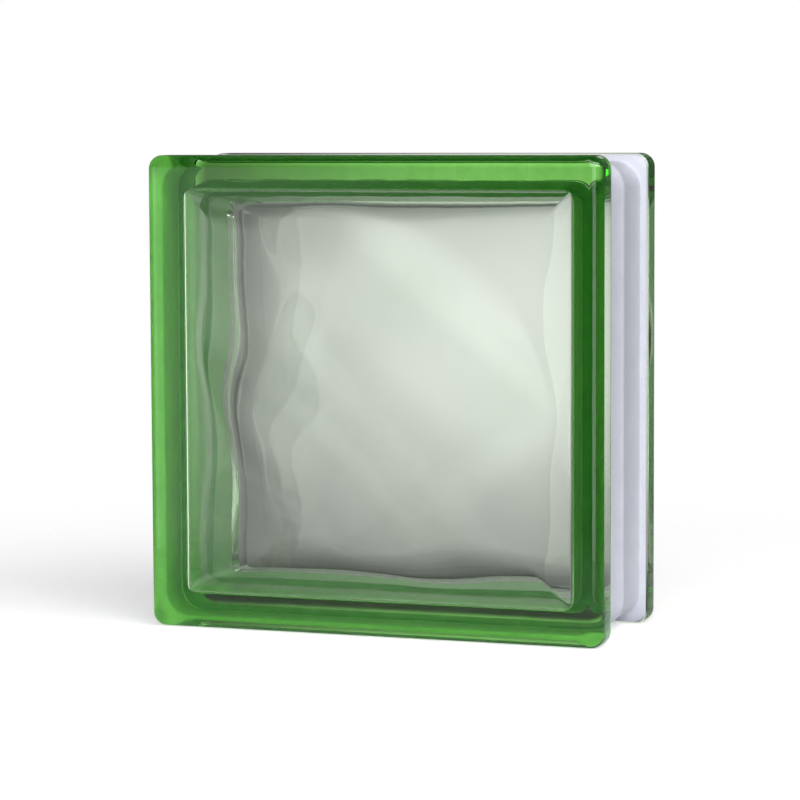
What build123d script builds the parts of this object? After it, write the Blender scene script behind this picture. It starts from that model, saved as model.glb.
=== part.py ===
from build123d import *
import math
import os

# Hollow glass block, standing on its bottom edge as it is laid in a wall.
# X runs along the wall, Y through it with the front face towards -Y, Z up.
# Two like pressings of clear glass meet rim to rim. A coating lines the mortar channel,
# and a thin web of it runs in between the rims and joins them.
# Lengths are in millimetres and angles in degrees.

# Overall size
block_width = 190.0
block_height = 190.0
block_thickness = 80.0

# Flange: the rim of each face, which stands out past the mortar channel
flange_band = 13.5
flange_corner_radius = 5.5
face_edge_radius = 5.0
flange_back_chamfer = 0.8

# Mortar channel between the two flanges, with shoulders that lean out from its floor
channel_depth = 3.6
channel_corner_radius = 10.0
shoulder_draft = 18.0

# Cavity left by the plunger, narrower at the pane than at the seam.
# A cove goes round the pane: a small arc against the wall, then a wide low one that the waves cut short.
pane_thickness = 8.0
rim_width = 13.6
cavity_draft = 7.0
cavity_corner_radius = 9.0
cove_width = 24.0
cove_depth = 6.0
cove_wall_radius = 2.6

# Bead along the rims where they meet at the seam, outside and inside the wall
seam_bead_width = 5.0
seam_crest_width = 2.0
outer_bead_height = 0.7
inner_bead_height = 2.0

# Coating on the floor and shoulders of the mortar channel, and its web in the seam
coating_thickness = 0.4
web_thickness = 0.4

# Wave relief on the inner face of each pane, a sum of plane waves.
# Each row holds shares: height of wave_height, length of wave_length,
# direction of a full turn from +X towards up, phase of a full cycle.
wave_height = 0.7
wave_length = 70.0
wave_shares = (
    (1.00, 1.00, 0.121, 0.682),
    (0.43, 0.77, 0.176, 0.616),
    (0.23, 0.54, 0.143, 0.080),
)
wave_sample_share = 0.12
wave_fit_tolerance = 0.005

# One half is drawn with its seam in the XY plane and its pane towards +Z
half_thickness = block_thickness / 2
shoulder_z = half_thickness - flange_band
pane_z = half_thickness - pane_thickness
seam_rim_width = rim_width - pane_z * math.tan(math.radians(cavity_draft))
bead_rim_width = seam_rim_width + inner_bead_height
cove_wall_turn = 2 * math.degrees(
    math.atan2(cove_width - cove_wall_radius, cove_depth - cove_wall_radius)
) - 90
shoulder_reach = channel_depth - flange_back_chamfer
wave_reach = wave_height * sum(row[0] for row in wave_shares)


def outline(inset, corner_radius):
    """Rounded outline of the block's face, drawn in from its outer edge."""
    return RectangleRounded(block_width - 2 * inset, block_height - 2 * inset, corner_radius)


def slab(inset, corner_radius, low, high, growth=0):
    """Prism on that outline between two heights, which may grow sideways on its way up."""
    lean = math.degrees(math.atan2(growth, high - low))
    return Pos(0, 0, low) * extrude(outline(inset, corner_radius), high - low, taper=-lean)


def flat_face(body, height):
    """Flat face of a body that lies nearest to one height above the seam."""
    level = body.faces().filter_by(GeomType.PLANE).filter_by(Axis.Z)
    return min(level, key=lambda face: abs(face.center().Z - height))


def ridge(inset, corner_radius, growth):
    """Plate with the section of half the seam bead, whose edge slopes from its crest to its foot."""
    crest = seam_crest_width / 2
    foot = seam_bead_width / 2
    return slab(inset, corner_radius, 0, crest) + slab(inset, corner_radius, crest, foot, growth)


def recessed_wall(skin):
    """Wall and leaning shoulder below the flange, grown all round by a skin."""
    inset = channel_depth - skin
    corner = channel_corner_radius + skin
    reach = shoulder_reach - skin
    foot = shoulder_z - skin - reach * math.tan(math.radians(shoulder_draft))
    wall = slab(inset, corner, 0, shoulder_z)
    wall += slab(inset, corner, foot, shoulder_z - skin, reach)
    bead_inset = inset - outer_bead_height
    return wall + ridge(bead_inset, corner + outer_bead_height, -outer_bead_height)


def pressing_outside():
    """Outside of one pressing: the flange on a recessed wall, with half of the seam bead."""
    flange = slab(0, flange_corner_radius, shoulder_z, half_thickness)
    flange = fillet(flat_face(flange, half_thickness).edges(), face_edge_radius)
    flange = chamfer(flat_face(flange, shoulder_z).edges(), flange_back_chamfer)
    return flange + recessed_wall(0)


def wave_rise(x, y):
    """Height of the wave relief over the flat pane, seen from the seam side."""
    rise = 0
    for height_share, length_share, turn_share, phase_share in wave_shares:
        direction = 2 * math.pi * turn_share
        along = x * math.cos(direction) + y * math.sin(direction)
        cycles = along / (wave_length * length_share) + phase_share
        rise += wave_height * height_share * math.sin(2 * math.pi * cycles)
    return rise


def wavy_pane():
    """Block of glass over the whole face whose underside is the wave relief."""
    step = wave_length * wave_sample_share
    columns = math.ceil(block_width / step)
    rows = math.ceil(block_height / step)
    grid = []
    for row in range(rows + 1):
        y = block_height * (row / rows - 1 / 2)
        xs = [block_width * (column / columns - 1 / 2) for column in range(columns + 1)]
        grid.append([(x, y, pane_z - wave_rise(x, y)) for x in xs])
    underside = Face.make_surface_from_array_of_points(grid, tol=wave_fit_tolerance)
    return extrude(underside, block_thickness, dir=(0, 0, 1))


def coved_bar(side_length, height, narrowing):
    """Bar with the section of the plunger across one side of the block, coved at its end."""
    foot = side_length / 2 - seam_rim_width
    cove_z = height - cove_depth
    side = foot - narrowing * cove_z / height
    flat = side - cove_width
    wall_arc = JernArc((side, cove_z), (0, 1), cove_wall_radius, cove_wall_turn)
    pane_arc = TangentArc(wall_arc @ 1, (flat, height), tangent=wall_arc % 1)
    edge = Polyline((0, 0), (foot, 0), (side, cove_z)) + wall_arc + pane_arc + Line((flat, height), (0, height))
    section = make_face(edge + mirror(edge, Plane.YZ))
    return extrude(Plane.XZ * section, max(block_width, block_height), both=True)


def plunger():
    """Space left by the pressing plunger: a drafted core, coved at its end and cut by the waves."""
    height = pane_z + wave_reach
    narrowing = height * math.tan(math.radians(cavity_draft))
    core = slab(seam_rim_width, cavity_corner_radius, 0, height, -narrowing)
    core &= coved_bar(block_width, height, narrowing)
    core &= Rot(0, 0, 90) * coved_bar(block_height, height, narrowing)
    return core - wavy_pane()


def inner_bead():
    """Half of the bead along the seam inside the cavity."""
    ring = slab(channel_depth, channel_corner_radius, 0, seam_bead_width / 2)
    return ring - ridge(bead_rim_width, cavity_corner_radius - inner_bead_height, inner_bead_height)


def seam_web():
    """Half of the web that fills the seam from the outer bead to the inner one."""
    half = web_thickness / 2
    ring = slab(channel_depth - outer_bead_height, channel_corner_radius + outer_bead_height, 0, half)
    return ring - slab(bead_rim_width, cavity_corner_radius - inner_bead_height, 0, half)


def coating_half(outside):
    """Coating on one pressing, from the seam over the shoulder to the back edge of the flange."""
    edge_corner = flange_corner_radius - flange_back_chamfer
    skin = recessed_wall(coating_thickness)
    skin += slab(flange_back_chamfer, edge_corner, shoulder_z - coating_thickness, shoulder_z)
    return skin - outside


# Both halves come from the same mould, and the rear one is turned half round the upright axis
front_place = Plane(origin=(0, 0, block_height / 2), x_dir=(1, 0, 0), z_dir=(0, -1, 0)).location
rear_place = Plane(origin=(0, 0, block_height / 2), x_dir=(-1, 0, 0), z_dir=(0, 1, 0)).location

outside = pressing_outside()
web = seam_web()
pressing = outside - plunger() + inner_bead() - web
skin = coating_half(outside) + web

nodes = {
    "front_half": front_place * pressing,
    "rear_half": rear_place * pressing,
    "edge_coating": front_place * skin + rear_place * skin,
}

os.makedirs("parts", exist_ok=True)
for name, shape in nodes.items():
    export_step(shape, f"parts/{name}.step")
    print(name, "solids", len(shape.solids()), "volume", round(shape.volume), "valid", shape.is_valid)
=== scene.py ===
import math

import bmesh
import bpy
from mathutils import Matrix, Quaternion, Vector, noise


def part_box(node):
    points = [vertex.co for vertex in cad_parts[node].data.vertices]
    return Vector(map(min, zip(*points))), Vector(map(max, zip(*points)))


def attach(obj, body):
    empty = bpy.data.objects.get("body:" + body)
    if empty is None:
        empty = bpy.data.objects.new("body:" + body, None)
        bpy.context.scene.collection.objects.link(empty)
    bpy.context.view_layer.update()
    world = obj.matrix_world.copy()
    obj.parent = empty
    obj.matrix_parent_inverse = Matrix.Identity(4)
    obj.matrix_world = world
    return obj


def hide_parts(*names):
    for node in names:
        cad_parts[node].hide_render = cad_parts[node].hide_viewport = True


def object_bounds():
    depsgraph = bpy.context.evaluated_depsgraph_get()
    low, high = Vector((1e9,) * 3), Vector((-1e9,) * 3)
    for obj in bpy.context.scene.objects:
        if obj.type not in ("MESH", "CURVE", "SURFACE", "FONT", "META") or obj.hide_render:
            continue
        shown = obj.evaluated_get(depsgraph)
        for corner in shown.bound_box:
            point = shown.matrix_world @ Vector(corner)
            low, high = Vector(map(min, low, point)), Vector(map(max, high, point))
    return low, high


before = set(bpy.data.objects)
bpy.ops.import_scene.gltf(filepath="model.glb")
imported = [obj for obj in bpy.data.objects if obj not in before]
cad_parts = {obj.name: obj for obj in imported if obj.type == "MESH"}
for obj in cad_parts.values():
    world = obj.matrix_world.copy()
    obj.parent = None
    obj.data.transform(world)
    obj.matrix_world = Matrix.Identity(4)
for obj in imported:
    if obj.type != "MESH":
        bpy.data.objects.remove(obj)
cad_low, cad_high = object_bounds()

# Sizes in metres, read from the frame where it has them
MM = 0.001
MID_HEIGHT = (cad_low.z + cad_high.z) / 2
HALF_FACE = (cad_high.x - cad_low.x) / 2
FACE_Y = cad_high.y
SHOULDER_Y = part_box("edge_coating")[1].y

# Section of the glass, with the part's sizes, and the rounded root of its mortar channel
FLANGE_CORNER = 5.5 * MM
FACE_EDGE = 5.0 * MM
BACK_CHAMFER = 0.8 * MM
CHANNEL_DEPTH = 3.6 * MM
CHANNEL_CORNER = 10.0 * MM
SHOULDER_DRAFT = math.radians(18)
SHOULDER_EDGE = 0.2 * MM
ROOT_RADIUS = 1.2 * MM
ROOT_LIFT_SHARE = 0.8
PANE_Y = FACE_Y - 8.0 * MM
RIM_WIDTH = 13.6 * MM
CAVITY_DRAFT = math.radians(7)
CAVITY_CORNER = 9.0 * MM
COVE_WIDTH = 24.0 * MM
COVE_DEPTH = 6.0 * MM
COVE_WALL = 2.6 * MM
COVE_CORNER = 0.8 * MM
WALL_DEPTHS = (-22 * MM, -16 * MM, -10 * MM, -5 * MM)

# Bead along the seam, outside and inside, and how uneven the inside one is
BEAD_HALF_WIDTH = 2.5 * MM
BEAD_SHARES = (0.75, 0.5, 0.25, 0)
BEAD_FULLNESS = 0.8
OUTER_BEAD = 0.7 * MM
INNER_BEAD = 2.0 * MM
RIPPLE = 0.9 * MM
RIPPLE_REACH = 3 * BEAD_HALF_WIDTH
RIPPLE_SCALE = 75
FINE_RIPPLE_SCALE = 2.3
FINE_RIPPLE_SHARE = 0.5
DRIFT_SCALE = 0.6
DRIFT_SHIFT = Vector((9, 0, 0))
SIDE_SHARPNESS = 7

# Coating on the channel, how far it bites into the glass, and its web in the seam
COAT = 0.4 * MM
COAT_BITE = 0.06 * MM
WEB = 0.4 * MM
WEB_SHORT = 0.3 * MM

# Wave relief inside each pane: share of the height, share of the length, turn, phase
WAVE_HEIGHT = 0.7 * MM
WAVE_LENGTH = 70 * MM
WAVE_SHARES = (
    (1.00, 1.00, 0.121, 0.682),
    (0.43, 0.77, 0.176, 0.616),
    (0.23, 0.54, 0.143, 0.080),
)
WAVE_REACH = WAVE_HEIGHT * sum(row[0] for row in WAVE_SHARES)
CREASE = 0.45 * MM

# Camera
CAMERA_PLACE = (0.4284, -1.1860, 0.2057)
CAMERA_AIM = Vector((-0.0014, 0, MID_HEIGHT - 0.00417))
CAMERA_ROLL = math.radians(-0.262)

# Floor, which fades out between two distances from the block's middle
FLOOR_RADIUS = 3
FLOOR_FADE = (0.10, 0.45)

# Sweep of paper behind the block with a pool of light on it, in shade at its foot
SWEEP_SIZE = 0.8
SWEEP_ROWS = 120
SWEEP_LIFT = 0.3 * MM
SWEEP_FOOT = 4 * MM
SWEEP_GAP = 120 * MM
SWEEP_RISE = 75 * MM
POOL_PLACE = (6 * MM, FACE_Y + SWEEP_GAP, 112 * MM)
POOL_SIZE = (235 * MM, 1, 165 * MM)
POOL_LEVELS = (0.86, 0.10)
SHADE_SPAN = (FACE_Y + 8 * MM, FACE_Y + 70 * MM)
SHADE_LEVELS = (0.08, 1)

# Studio round the block, with a soft glow low on its left
STUDIO_LEVEL = 0.13
LEFT_GLOW_TURN = -45
LEFT_GLOW_RISE = -10
LEFT_GLOW_SPREAD = 32
LEFT_GLOW_LEVEL = 2.0

# Fineness of the meshes
CORNER_STEPS = 8
FACE_EDGE_STEPS = 10
ROOT_STEPS = 4
PANE_ARC_STEPS = 14
WALL_ARC_STEPS = 10
PANE_CUTS = 95
COAT_CUTS = 47
GRID_ROUNDING = 6
SEAM_JOIN = 0.02 * MM
PANE_JOIN = 0.05 * MM

# Each outline of a loft carries its number, and they start spread apart so that bridging can't mix them up
STATION = "station"
SPREAD = 20 * MM

# Part of a noise's range that is used, where it varies a tone or a roughness
MASK_SPAN = (0.35, 0.65)


def wave_rise(x, z):
    """Height of the wave relief over the flat pane, towards the cavity."""
    rise = 0
    for height_share, length_share, turn_share, phase_share in WAVE_SHARES:
        direction = 2 * math.pi * turn_share
        along = x * math.cos(direction) + z * math.sin(direction)
        cycles = along / (WAVE_LENGTH * length_share) + phase_share
        rise += WAVE_HEIGHT * height_share * math.sin(2 * math.pi * cycles)
    return rise


def edit_mesh(piece):
    return bmesh.from_edit_mesh(piece.data)


def start_piece(name):
    """New empty piece at the origin, open in edit mode."""
    bpy.ops.object.select_all(action="DESELECT")
    bpy.ops.mesh.primitive_plane_add(size=1)
    piece = bpy.context.object
    piece.name = name
    piece.data.name = name
    bpy.ops.object.mode_set(mode="EDIT")
    bpy.ops.mesh.delete(type="VERT")
    edit_mesh(piece).verts.layers.int.new(STATION)
    return piece


def select_stations(piece, *stations):
    """Select only the outlines with these station numbers."""
    bpy.ops.mesh.select_mode(type="VERT")
    bpy.ops.mesh.select_all(action="DESELECT")
    mesh = edit_mesh(piece)
    layer = mesh.verts.layers.int[STATION]
    for vertex in mesh.verts:
        vertex.select = vertex[layer] in stations
    mesh.select_flush(True)
    bmesh.update_edit_mesh(piece.data)


def cut_sides(piece, straight, cuts):
    """Cut the straight sides of the newest outline into equal lengths."""
    mesh = edit_mesh(piece)
    layer = mesh.verts.layers.int[STATION]
    bpy.ops.mesh.select_mode(type="EDGE")
    for edge in mesh.edges:
        fresh = all(vertex[layer] == 0 for vertex in edge.verts)
        edge.select = fresh and edge.calc_length() > straight / 2
    bmesh.update_edit_mesh(piece.data)
    bpy.ops.mesh.subdivide(number_cuts=cuts)
    bpy.ops.mesh.select_mode(type="VERT")


def add_outline(piece, station, inset, corner, y, cuts=0, keep_face=False):
    """Rounded square that stands across the block at depth y, drawn in from the block's edge."""
    bpy.ops.mesh.select_all(action="DESELECT")
    bpy.ops.mesh.primitive_plane_add(
        size=2 * (HALF_FACE - inset), location=(0, y, MID_HEIGHT), rotation=(math.pi / 2, 0, 0)
    )
    bpy.ops.mesh.bevel(offset=corner, segments=CORNER_STEPS, affect="VERTICES")
    if not keep_face:
        bpy.ops.mesh.delete(type="ONLY_FACE")
    if cuts:
        cut_sides(piece, 2 * (HALF_FACE - inset - corner), cuts)
    mesh = edit_mesh(piece)
    layer = mesh.verts.layers.int[STATION]
    for vertex in mesh.verts:
        if vertex[layer] == 0:
            vertex[layer] = station
    bmesh.update_edit_mesh(piece.data)


def loft(piece, stations, cuts=0, cap=False, closed=False):
    """Bridge a row of outlines, each given by its inset, corner radius and depth."""
    for number, (inset, corner, y) in enumerate(stations, 1):
        add_outline(piece, number, inset, corner, number * SPREAD, cuts, cap and number == 1)
    for number in range(1, len(stations)):
        select_stations(piece, number, number + 1)
        bpy.ops.mesh.bridge_edge_loops()
    if closed:
        select_stations(piece, 1, len(stations))
        bpy.ops.mesh.bridge_edge_loops()
    mesh = edit_mesh(piece)
    layer = mesh.verts.layers.int[STATION]
    for vertex in mesh.verts:
        vertex.co.y = stations[vertex[layer] - 1][2]
    bmesh.update_edit_mesh(piece.data)


def arc(centre, radius, start, end, steps):
    """Points of an arc in the section: inset across, depth along, angles in degrees."""
    points = []
    for step in range(steps + 1):
        angle = math.radians(start + (end - start) * step / steps)
        points.append((centre[0] + radius * math.cos(angle), centre[1] + radius * math.sin(angle)))
    return points


def bead(height, half_width):
    """Rise and depth of points over the front half of a rounded bead, up to its crest at the seam."""
    points = []
    for share in BEAD_SHARES:
        rise = height * math.cos(share * math.pi / 2) ** BEAD_FULLNESS
        points.append((rise, -half_width * share))
    return points


def flange_section():
    """Face edge, band and back edge of the front flange."""
    points = arc((FACE_EDGE, FACE_EDGE - FACE_Y), FACE_EDGE, 270, 180, FACE_EDGE_STEPS)
    points.append((0, -SHOULDER_Y - BACK_CHAMFER))
    points.append((BACK_CHAMFER, -SHOULDER_Y))
    return [(inset, FLANGE_CORNER - inset, y) for inset, y in points]


def channel_section(skin):
    """Front half of the mortar channel, from the flange's back edge to the seam, grown by a skin."""
    floor = CHANNEL_DEPTH - skin
    top = -SHOULDER_Y + skin
    edge = BACK_CHAMFER + SHOULDER_EDGE
    root = ROOT_RADIUS - skin
    foot_y = top + (floor - edge) * math.tan(SHOULDER_DRAFT)
    points = [(edge, top)]
    points += arc((floor - root, foot_y + root * ROOT_LIFT_SHARE), root, 280, 360, ROOT_STEPS)
    points.append((floor, -BEAD_HALF_WIDTH - skin))
    points += [(floor - rise, y) for rise, y in bead(OUTER_BEAD, BEAD_HALF_WIDTH + skin)]
    return [(inset, CHANNEL_CORNER + CHANNEL_DEPTH - inset, y) for inset, y in points]


def cove_section():
    """Cove as in the part, from the pane: a wide low arc, then a small one against the wall."""
    width, depth = COVE_WIDTH - COVE_WALL, COVE_DEPTH - COVE_WALL
    turn = 2 * math.degrees(math.atan2(width, depth)) - 90
    radius = COVE_DEPTH + width * math.tan(math.radians(turn))
    pane_arc = arc((0, COVE_DEPTH - radius), radius, 90, turn, PANE_ARC_STEPS)
    return pane_arc + arc((width, 0), COVE_WALL, turn, 0, WALL_ARC_STEPS)[1:]


def wall_inset(y):
    """Inset of the drafted cavity wall at a depth in the front half."""
    return RIM_WIDTH - (PANE_Y + y) * math.tan(CAVITY_DRAFT)


def wall_corner(inset):
    """Corner radius of the cavity where its outline has that inset."""
    return CAVITY_CORNER + wall_inset(0) - inset


def cavity_section():
    """Front half of the cavity: cove round the pane, drafted wall and the inner bead of the seam."""
    cove_y = COVE_DEPTH - PANE_Y - WAVE_REACH
    side = wall_inset(cove_y)
    section = []
    for across, deep in cove_section():
        past = COVE_WIDTH - across
        corner = max(wall_corner(side) - past / (1 - math.sqrt(0.5)), COVE_CORNER)
        section.append((side + past, corner, cove_y - deep))
    points = [(wall_inset(y), y) for y in (*WALL_DEPTHS, -BEAD_HALF_WIDTH)]
    points += [(wall_inset(y) + rise, y) for rise, y in bead(INNER_BEAD, BEAD_HALF_WIDTH)]
    return section + [(inset, wall_corner(inset), y) for inset, y in points]


def mirrored(stations):
    return [(inset, corner, -y) for inset, corner, y in reversed(stations)]


def add_turned_copy():
    """Copy all that is modelled so far, turn it half round the upright axis and join it at the seam."""
    bpy.ops.mesh.select_all(action="SELECT")
    bpy.ops.mesh.duplicate()
    bpy.ops.transform.rotate(value=math.pi, orient_axis="Z", center_override=(0, 0, 0))
    bpy.ops.mesh.select_all(action="SELECT")
    bpy.ops.mesh.remove_doubles(threshold=SEAM_JOIN)


def finish_mesh(flip=False):
    bpy.ops.mesh.select_all(action="SELECT")
    bpy.ops.mesh.normals_make_consistent(inside=False)
    if flip:
        bpy.ops.mesh.flip_normals()
    bpy.ops.object.mode_set(mode="OBJECT")
    bpy.ops.object.shade_smooth()


def model_outside():
    """Outer skin of the joined block."""
    piece = start_piece("glass_block")
    loft(piece, flange_section() + channel_section(0), cap=True)
    add_turned_copy()
    finish_mesh()
    return piece


def rounded_place(column, row, count, half, corner):
    """Place on a pane of a grid point, so that the outermost points follow a rounded outline."""
    centre = count / 2
    u, v = column - centre, row - centre
    level = max(abs(u), abs(v))
    if level == 0:
        return 0.0, 0.0
    bend = CORNER_STEPS / 2

    def along_side(offset, reach):
        share = abs(offset) / reach * centre
        straight = centre - bend
        if share <= straight:
            return math.copysign(share / straight * (half - corner), offset), half
        angle = (share - straight) / bend * math.pi / 4
        side = half - corner + corner * math.sin(angle)
        return math.copysign(side, offset), half - corner + corner * math.cos(angle)

    if abs(u) >= abs(v):
        side, out = along_side(v, level)
        rim = (math.copysign(out, u), side)
    else:
        side, out = along_side(u, level)
        rim = (side, math.copysign(out, v))
    scale = level / centre
    weight = scale ** GRID_ROUNDING
    flat = (u / centre * half, v / centre * half)
    return tuple(f * (1 - weight) + r * scale * weight for f, r in zip(flat, rim))


def add_pane(piece, inset, corner, y):
    """Fill the first outline of the cavity with an even grid that meets it point for point."""
    count = PANE_CUTS + 1 + CORNER_STEPS
    half = HALF_FACE - inset
    bpy.ops.mesh.select_all(action="DESELECT")
    bpy.ops.mesh.primitive_grid_add(
        x_subdivisions=count, y_subdivisions=count, size=2 * half,
        location=(0, y, MID_HEIGHT), rotation=(math.pi / 2, 0, 0),
    )
    mesh = edit_mesh(piece)
    for vertex in mesh.verts:
        if vertex.select:
            column = round((vertex.co.x / half + 1) * count / 2)
            row = round(((vertex.co.z - MID_HEIGHT) / half + 1) * count / 2)
            x, z = rounded_place(column, row, count, half, corner)
            vertex.co.x, vertex.co.z = x, MID_HEIGHT + z
    bmesh.update_edit_mesh(piece.data)
    bpy.ops.mesh.select_all(action="SELECT")
    bpy.ops.mesh.remove_doubles(threshold=PANE_JOIN)


def press_waves(piece):
    """Lift the pane to the wave relief, which cuts the cove short along a soft crease."""
    mesh = edit_mesh(piece)
    for vertex in mesh.verts:
        wave_y = -(PANE_Y - wave_rise(vertex.co.x, vertex.co.z - MID_HEIGHT))
        apart = vertex.co.y - wave_y
        if apart < COVE_DEPTH:
            vertex.co.y = (vertex.co.y + wave_y + math.sqrt(apart ** 2 + CREASE ** 2)) / 2
    bmesh.update_edit_mesh(piece.data)


def ripple_bead(piece):
    """Make the inner bead uneven, as it sets when the two halves are joined."""
    mesh = edit_mesh(piece)
    for vertex in mesh.verts:
        fade = 1 - abs(vertex.co.y) / RIPPLE_REACH
        if fade > 0:
            spot = vertex.co * RIPPLE_SCALE
            out = Vector((vertex.co.x, 0, vertex.co.z - MID_HEIGHT)) / HALF_FACE
            inward = -Vector((out.x ** SIDE_SHARPNESS, 0, out.z ** SIDE_SHARPNESS)).normalized()
            fine = max(noise.noise(spot * FINE_RIPPLE_SCALE), 0)
            swell = max(noise.noise(spot), 0) + FINE_RIPPLE_SHARE * fine
            drift = noise.noise(spot * DRIFT_SCALE + DRIFT_SHIFT)
            vertex.co += inward * swell * RIPPLE * fade
            vertex.co.y += drift * RIPPLE * fade
    bmesh.update_edit_mesh(piece.data)


def model_cavity():
    """Inner skin of the joined block, with the wave relief on both panes."""
    piece = start_piece("cavity")
    section = cavity_section()
    loft(piece, section, cuts=PANE_CUTS)
    add_pane(piece, *section[0])
    press_waves(piece)
    add_turned_copy()
    ripple_bead(piece)
    finish_mesh(flip=True)
    return piece


def model_glass():
    """Both halves of the block as one closed body, an outer and an inner skin."""
    outside = model_outside()
    cavity = model_cavity()
    bpy.ops.object.select_all(action="DESELECT")
    outside.select_set(True)
    cavity.select_set(True)
    bpy.context.view_layer.objects.active = outside
    bpy.ops.object.join()
    even = outside.modifiers.new("even shading", "WEIGHTED_NORMAL")
    even.weight = 60
    bpy.ops.object.modifier_apply(modifier=even.name)
    return outside


def seam_web():
    """Thin web of the coating between the two halves, from the channel nearly to the cavity."""
    inner = wall_inset(0) + INNER_BEAD - WEB_SHORT
    points = [(CHANNEL_DEPTH, -WEB / 2), (inner, -WEB / 2)]
    return [(inset, CHANNEL_CORNER + CHANNEL_DEPTH - inset, y) for inset, y in points]


def paint_stations(piece, stations, material_index):
    select_stations(piece, *stations)
    piece.active_material_index = material_index
    bpy.ops.object.material_slot_assign()


def model_coating():
    """Coat on the channel: its outer face, then its underside a little way into the glass."""
    piece = start_piece("edge_coating_skin")
    outer = channel_section(COAT)
    under = channel_section(-COAT_BITE)
    under[-1:] = seam_web()
    edge_corner = FLANGE_CORNER - BACK_CHAMFER
    edge = (BACK_CHAMFER, edge_corner, -SHOULDER_Y + COAT / 2)
    under.insert(0, (BACK_CHAMFER, edge_corner, -SHOULDER_Y - COAT_BITE))
    ring = [edge] + outer + mirrored(outer)[1:] + mirrored([edge])
    outside_count = len(ring)
    ring += list(reversed(under + mirrored(under)))
    loft(piece, ring, cuts=COAT_CUTS, closed=True)
    for material in coat_materials():
        piece.data.materials.append(material)
    # The web's two outlines of each half are the middle four of the underside
    web_middle = outside_count + len(under)
    paint_stations(piece, range(outside_count + 1, len(ring) + 1), 1)
    paint_stations(piece, range(web_middle - 1, web_middle + 3), 2)
    finish_mesh()
    return piece


def new_material(name):
    material = bpy.data.materials.new(name)
    material.use_nodes = True
    nodes = material.node_tree.nodes
    return material, nodes, material.node_tree.links, nodes["Principled BSDF"]


def map_range(nodes, links, value, source, target, curve="LINEAR"):
    """Add a node that maps one span of values to another, and give its result."""
    node = nodes.new("ShaderNodeMapRange")
    node.interpolation_type = curve
    node.inputs["From Min"].default_value, node.inputs["From Max"].default_value = source
    node.inputs["To Min"].default_value, node.inputs["To Max"].default_value = target
    links.new(value, node.inputs["Value"])
    return node.outputs["Result"]


def mix_shaders(nodes, links, share, first, second):
    """Add a node that goes from one shader to another by a share, and give its result."""
    node = nodes.new("ShaderNodeMixShader")
    links.new(share, node.inputs["Fac"])
    links.new(first, node.inputs[1])
    links.new(second, node.inputs[2])
    return node.outputs["Shader"]


def vector_length(nodes, links, vector):
    node = nodes.new("ShaderNodeVectorMath")
    node.operation = "LENGTH"
    links.new(vector, node.inputs[0])
    return node.outputs["Value"]


def surface_group(name, scale, fine_scale, fine_share):
    """Node group that gives a soft unevenness and a mask of it, both from the place on the block."""
    group = bpy.data.node_groups.new(name, "ShaderNodeTree")
    group.interface.new_socket("Relief", in_out="INPUT", socket_type="NodeSocketFloat")
    group.interface.new_socket("Mask", in_out="OUTPUT", socket_type="NodeSocketFloat")
    group.interface.new_socket("Normal", in_out="OUTPUT", socket_type="NodeSocketVector")
    nodes, links = group.nodes, group.links
    given, result = nodes.new("NodeGroupInput"), nodes.new("NodeGroupOutput")
    place = nodes.new("ShaderNodeTexCoord")
    broad = nodes.new("ShaderNodeTexNoise")
    broad.inputs["Scale"].default_value = scale
    broad.inputs["Detail"].default_value = 2
    fine = nodes.new("ShaderNodeTexNoise")
    fine.inputs["Scale"].default_value = fine_scale
    fine.inputs["Detail"].default_value = 3
    both = nodes.new("ShaderNodeMix")
    both.inputs["Factor"].default_value = fine_share
    bump = nodes.new("ShaderNodeBump")
    bump.inputs["Distance"].default_value = MM
    links.new(place.outputs["Object"], broad.inputs["Vector"])
    links.new(place.outputs["Object"], fine.inputs["Vector"])
    links.new(broad.outputs["Fac"], both.inputs["A"])
    links.new(fine.outputs["Fac"], both.inputs["B"])
    links.new(both.outputs["Result"], bump.inputs["Height"])
    links.new(given.outputs["Relief"], bump.inputs["Strength"])
    links.new(both.outputs["Result"], result.inputs["Mask"])
    links.new(bump.outputs["Normal"], result.inputs["Normal"])
    return group


def add_surface(nodes, links, shader, group, relief, roughness):
    """Lay a node group's unevenness on a shader, and let its mask vary the roughness."""
    surface = nodes.new("ShaderNodeGroup")
    surface.node_tree = group
    surface.inputs["Relief"].default_value = relief
    polish = map_range(nodes, links, surface.outputs["Mask"], MASK_SPAN, roughness)
    links.new(polish, shader.inputs["Roughness"])
    links.new(surface.outputs["Normal"], shader.inputs["Normal"])
    return surface


def add_tint(nodes, links, shader, surface, low, high):
    """Vary the base colour between two tones by a node group's mask."""
    tint = nodes.new("ShaderNodeMix")
    tint.data_type = "RGBA"
    sockets = {socket.identifier: socket for socket in (*tint.inputs, *tint.outputs)}
    sockets["A_Color"].default_value = (*low, 1)
    sockets["B_Color"].default_value = (*high, 1)
    share = map_range(nodes, links, surface.outputs["Mask"], MASK_SPAN, (0, 1))
    links.new(share, tint.inputs["Factor"])
    links.new(sockets["Result_Color"], shader.inputs["Base Color"])


def glass_material():
    material, nodes, links, shader = new_material("clear_pressed_glass")
    shader.inputs["Base Color"].default_value = (1, 1, 1, 1)
    shader.inputs["IOR"].default_value = 1.52
    shader.inputs["Transmission Weight"].default_value = 1
    fire_polish = surface_group("fire_polish", scale=55, fine_scale=210, fine_share=0.12)
    add_surface(nodes, links, shader, fire_polish, relief=0.10, roughness=(0.0, 0.012))
    absorb = nodes.new("ShaderNodeVolumeAbsorption")
    absorb.inputs["Color"].default_value = (0.375, 1.0, 0.125, 1)
    absorb.inputs["Density"].default_value = 8
    links.new(absorb.outputs["Volume"], nodes["Material Output"].inputs["Volume"])
    return material


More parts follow.
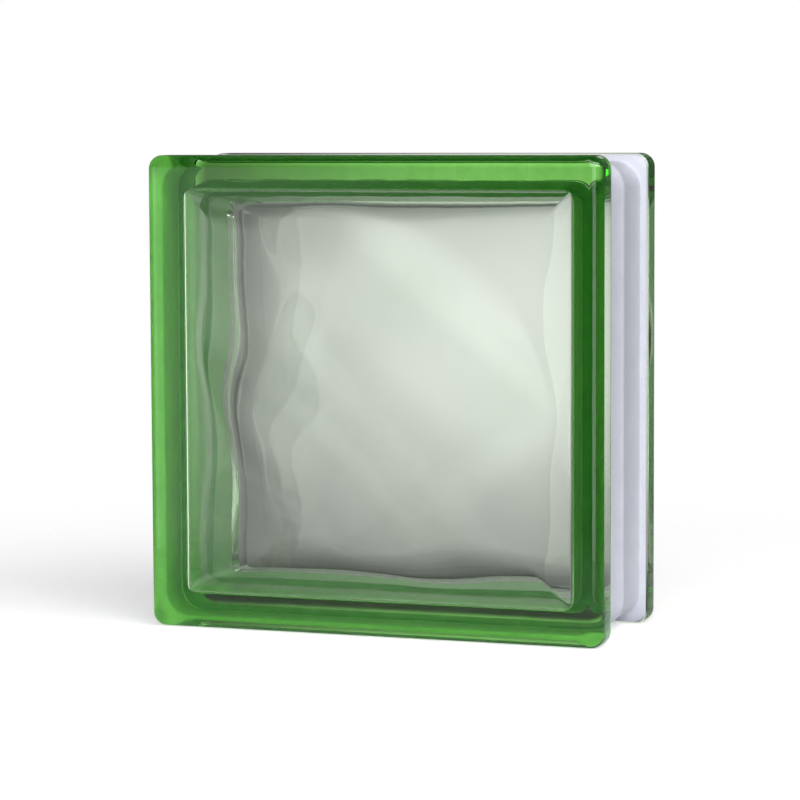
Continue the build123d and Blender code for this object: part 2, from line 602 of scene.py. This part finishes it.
def coat_materials():
    """White outside of the coat, its underside seen through the glass, and its clear green web."""
    sprayed = surface_group("sprayed_coat", scale=160, fine_scale=1300, fine_share=0.5)
    white, nodes, links, shader = new_material("channel_coat_white")
    surface = add_surface(nodes, links, shader, sprayed, relief=0.25, roughness=(0.45, 0.62))
    add_tint(nodes, links, shader, surface, (0.56, 0.58, 0.66), (0.63, 0.64, 0.715))
    green, nodes, links, shader = new_material("channel_coat_underside")
    surface = add_surface(nodes, links, shader, sprayed, relief=0.1, roughness=(0.45, 0.55))
    add_tint(nodes, links, shader, surface, (0.17, 0.70, 0.07), (0.23, 0.80, 0.10))
    web, nodes, links, shader = new_material("seam_web_green")
    shader.inputs["Roughness"].default_value = 0.0
    shader.inputs["IOR"].default_value = 1.0
    shader.inputs["Transmission Weight"].default_value = 1
    surface = nodes.new("ShaderNodeGroup")
    surface.node_tree = sprayed
    add_tint(nodes, links, shader, surface, (0.38, 0.80, 0.24), (0.50, 0.90, 0.34))
    return white, green, web


def set_camera():
    data = bpy.data.cameras.new("camera")
    camera = bpy.data.objects.new("camera", data)
    bpy.context.scene.collection.objects.link(camera)
    data.lens = 141.04
    data.sensor_width = 36
    camera.location = CAMERA_PLACE
    look = (CAMERA_AIM - camera.location).to_track_quat("-Z", "Y")
    camera.rotation_mode = "QUATERNION"
    camera.rotation_quaternion = look @ Quaternion((0, 0, 1), CAMERA_ROLL)
    bpy.context.scene.camera = camera


def floor_material():
    """Pale floor, lifted towards white for the camera and faded out away from the block."""
    material, nodes, links, shader = new_material("pale_floor")
    shader.inputs["Base Color"].default_value = (0.78, 0.78, 0.78, 1)
    shader.inputs["Roughness"].default_value = 0.9
    shader.inputs["Specular IOR Level"].default_value = 0.1
    path = nodes.new("ShaderNodeLightPath")
    glow = nodes.new("ShaderNodeEmission")
    glow.inputs["Strength"].default_value = 0.45
    lit = nodes.new("ShaderNodeAddShader")
    links.new(shader.outputs["BSDF"], lit.inputs[0])
    links.new(glow.outputs["Emission"], lit.inputs[1])
    seen = path.outputs["Is Camera Ray"]
    floor = mix_shaders(nodes, links, seen, shader.outputs["BSDF"], lit.outputs["Shader"])
    place = nodes.new("ShaderNodeTexCoord")
    distance = vector_length(nodes, links, place.outputs["Object"])
    fade = map_range(nodes, links, distance, FLOOR_FADE, (0, 1), "SMOOTHSTEP")
    clear = nodes.new("ShaderNodeBsdfTransparent")
    surface = mix_shaders(nodes, links, fade, floor, clear.outputs["BSDF"])
    links.new(surface, nodes["Material Output"].inputs["Surface"])
    return material


def set_floor():
    bpy.ops.object.select_all(action="DESELECT")
    bpy.ops.mesh.primitive_circle_add(
        vertices=96, radius=FLOOR_RADIUS, fill_type="NGON", location=(0, 0, cad_low.z)
    )
    floor = bpy.context.object
    floor.name = "floor"
    floor.data.materials.append(floor_material())


def pool_material():
    """Pool of light that is seen only through the glass, in shade towards the foot of the sweep."""
    material, nodes, links, shader = new_material("backdrop_pool")
    nodes.remove(shader)
    place = nodes.new("ShaderNodeTexCoord")
    centre = nodes.new("ShaderNodeMapping")
    centre.vector_type = "TEXTURE"
    centre.inputs["Location"].default_value = POOL_PLACE
    centre.inputs["Scale"].default_value = POOL_SIZE
    links.new(place.outputs["Object"], centre.inputs["Vector"])
    distance = vector_length(nodes, links, centre.outputs["Vector"])
    pool = map_range(nodes, links, distance, (0, 1), POOL_LEVELS, "SMOOTHERSTEP")
    axes = nodes.new("ShaderNodeSeparateXYZ")
    links.new(place.outputs["Object"], axes.inputs["Vector"])
    shade = map_range(nodes, links, axes.outputs["Y"], SHADE_SPAN, SHADE_LEVELS, "SMOOTHSTEP")
    level = nodes.new("ShaderNodeMath")
    level.operation = "MULTIPLY"
    links.new(pool, level.inputs[0])
    links.new(shade, level.inputs[1])
    glow = nodes.new("ShaderNodeEmission")
    links.new(level.outputs["Value"], glow.inputs["Color"])
    clear = nodes.new("ShaderNodeBsdfTransparent")
    path = nodes.new("ShaderNodeLightPath")
    through = path.outputs["Is Transmission Ray"]
    surface = mix_shaders(nodes, links, through, clear.outputs["BSDF"], glow.outputs["Emission"])
    links.new(surface, nodes["Material Output"].inputs["Surface"])
    return material


def set_backdrop():
    """Sweep of paper behind the block, which curves forward to the block's foot."""
    bpy.ops.object.select_all(action="DESELECT")
    bpy.ops.mesh.primitive_grid_add(
        x_subdivisions=2, y_subdivisions=SWEEP_ROWS, size=SWEEP_SIZE,
        location=(0, FACE_Y + SWEEP_GAP, cad_low.z + SWEEP_SIZE / 2), rotation=(math.pi / 2, 0, 0),
    )
    sheet = bpy.context.object
    sheet.name = "backdrop"
    bpy.ops.object.transform_apply(location=True, rotation=True, scale=True)
    bpy.ops.object.mode_set(mode="EDIT")
    mesh = edit_mesh(sheet)
    for vertex in mesh.verts:
        below = max(1 - (vertex.co.z - cad_low.z) / SWEEP_RISE, 0)
        vertex.co.y -= (SWEEP_GAP - SWEEP_FOOT) * (1 - math.sqrt(1 - min(below, 1) ** 2))
        vertex.co.z += SWEEP_LIFT
    bmesh.update_edit_mesh(sheet.data)
    bpy.ops.object.mode_set(mode="OBJECT")
    sheet.data.materials.append(pool_material())


def way(turn, rise):
    """Direction at an angle from the block's front, positive to its right, and one above the floor."""
    turn, rise = math.radians(turn), math.radians(rise)
    level = math.cos(rise)
    return Vector((math.sin(turn) * level, -math.cos(turn) * level, math.sin(rise)))


def set_world():
    """Dim grey studio, plain white where the camera looks past the block."""
    world = bpy.data.worlds.new("studio")
    bpy.context.scene.world = world
    world.use_nodes = True
    nodes, links = world.node_tree.nodes, world.node_tree.links
    place = nodes.new("ShaderNodeTexCoord")
    aim = nodes.new("ShaderNodeVectorMath")
    aim.operation = "DOT_PRODUCT"
    aim.inputs[1].default_value = way(LEFT_GLOW_TURN, LEFT_GLOW_RISE)
    links.new(place.outputs["Generated"], aim.inputs[0])
    spread = (math.cos(math.radians(LEFT_GLOW_SPREAD)), 1)
    levels = (STUDIO_LEVEL, LEFT_GLOW_LEVEL)
    glow = map_range(nodes, links, aim.outputs["Value"], spread, levels, "SMOOTHERSTEP")
    studio = nodes["Background"]
    links.new(glow, studio.inputs["Color"])
    white = nodes.new("ShaderNodeBackground")
    white.inputs["Color"].default_value = (1, 1, 1, 1)
    path = nodes.new("ShaderNodeLightPath")
    seen = path.outputs["Is Camera Ray"]
    surface = mix_shaders(nodes, links, seen, studio.outputs["Background"], white.outputs["Background"])
    links.new(surface, nodes["World Output"].inputs["Surface"])


def add_softbox(name, place, width, height, power):
    """Large soft lamp that points at the block's middle and stays out of the camera's sight."""
    data = bpy.data.lights.new(name, "AREA")
    data.shape = "RECTANGLE"
    data.size = width
    data.size_y = height
    data.energy = power
    lamp = bpy.data.objects.new(name, data)
    bpy.context.scene.collection.objects.link(lamp)
    lamp.location = place
    aim = Vector((0, 0, MID_HEIGHT)) - Vector(place)
    lamp.rotation_euler = aim.to_track_quat("-Z", "Y").to_euler()
    lamp.visible_camera = False


def set_lamps():
    add_softbox("front_softbox", (0.55, -1.35, 1.35), width=1.6, height=1.6, power=24)
    add_softbox("fill_softbox", (0.85, -1.6, 0.1), width=1.0, height=1.0, power=7)
    add_softbox("right_softbox", (1.35, -0.63, 1.25), width=1.2, height=1.0, power=20)


glass = model_glass()
glass.data.materials.append(glass_material())
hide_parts("front_half", "rear_half")
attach(glass, "root")

coating = model_coating()
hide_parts("edge_coating")
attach(coating, "root")

set_camera()
set_floor()
set_backdrop()
set_world()
set_lamps()
bpy.context.scene.view_settings.view_transform = "Standard"
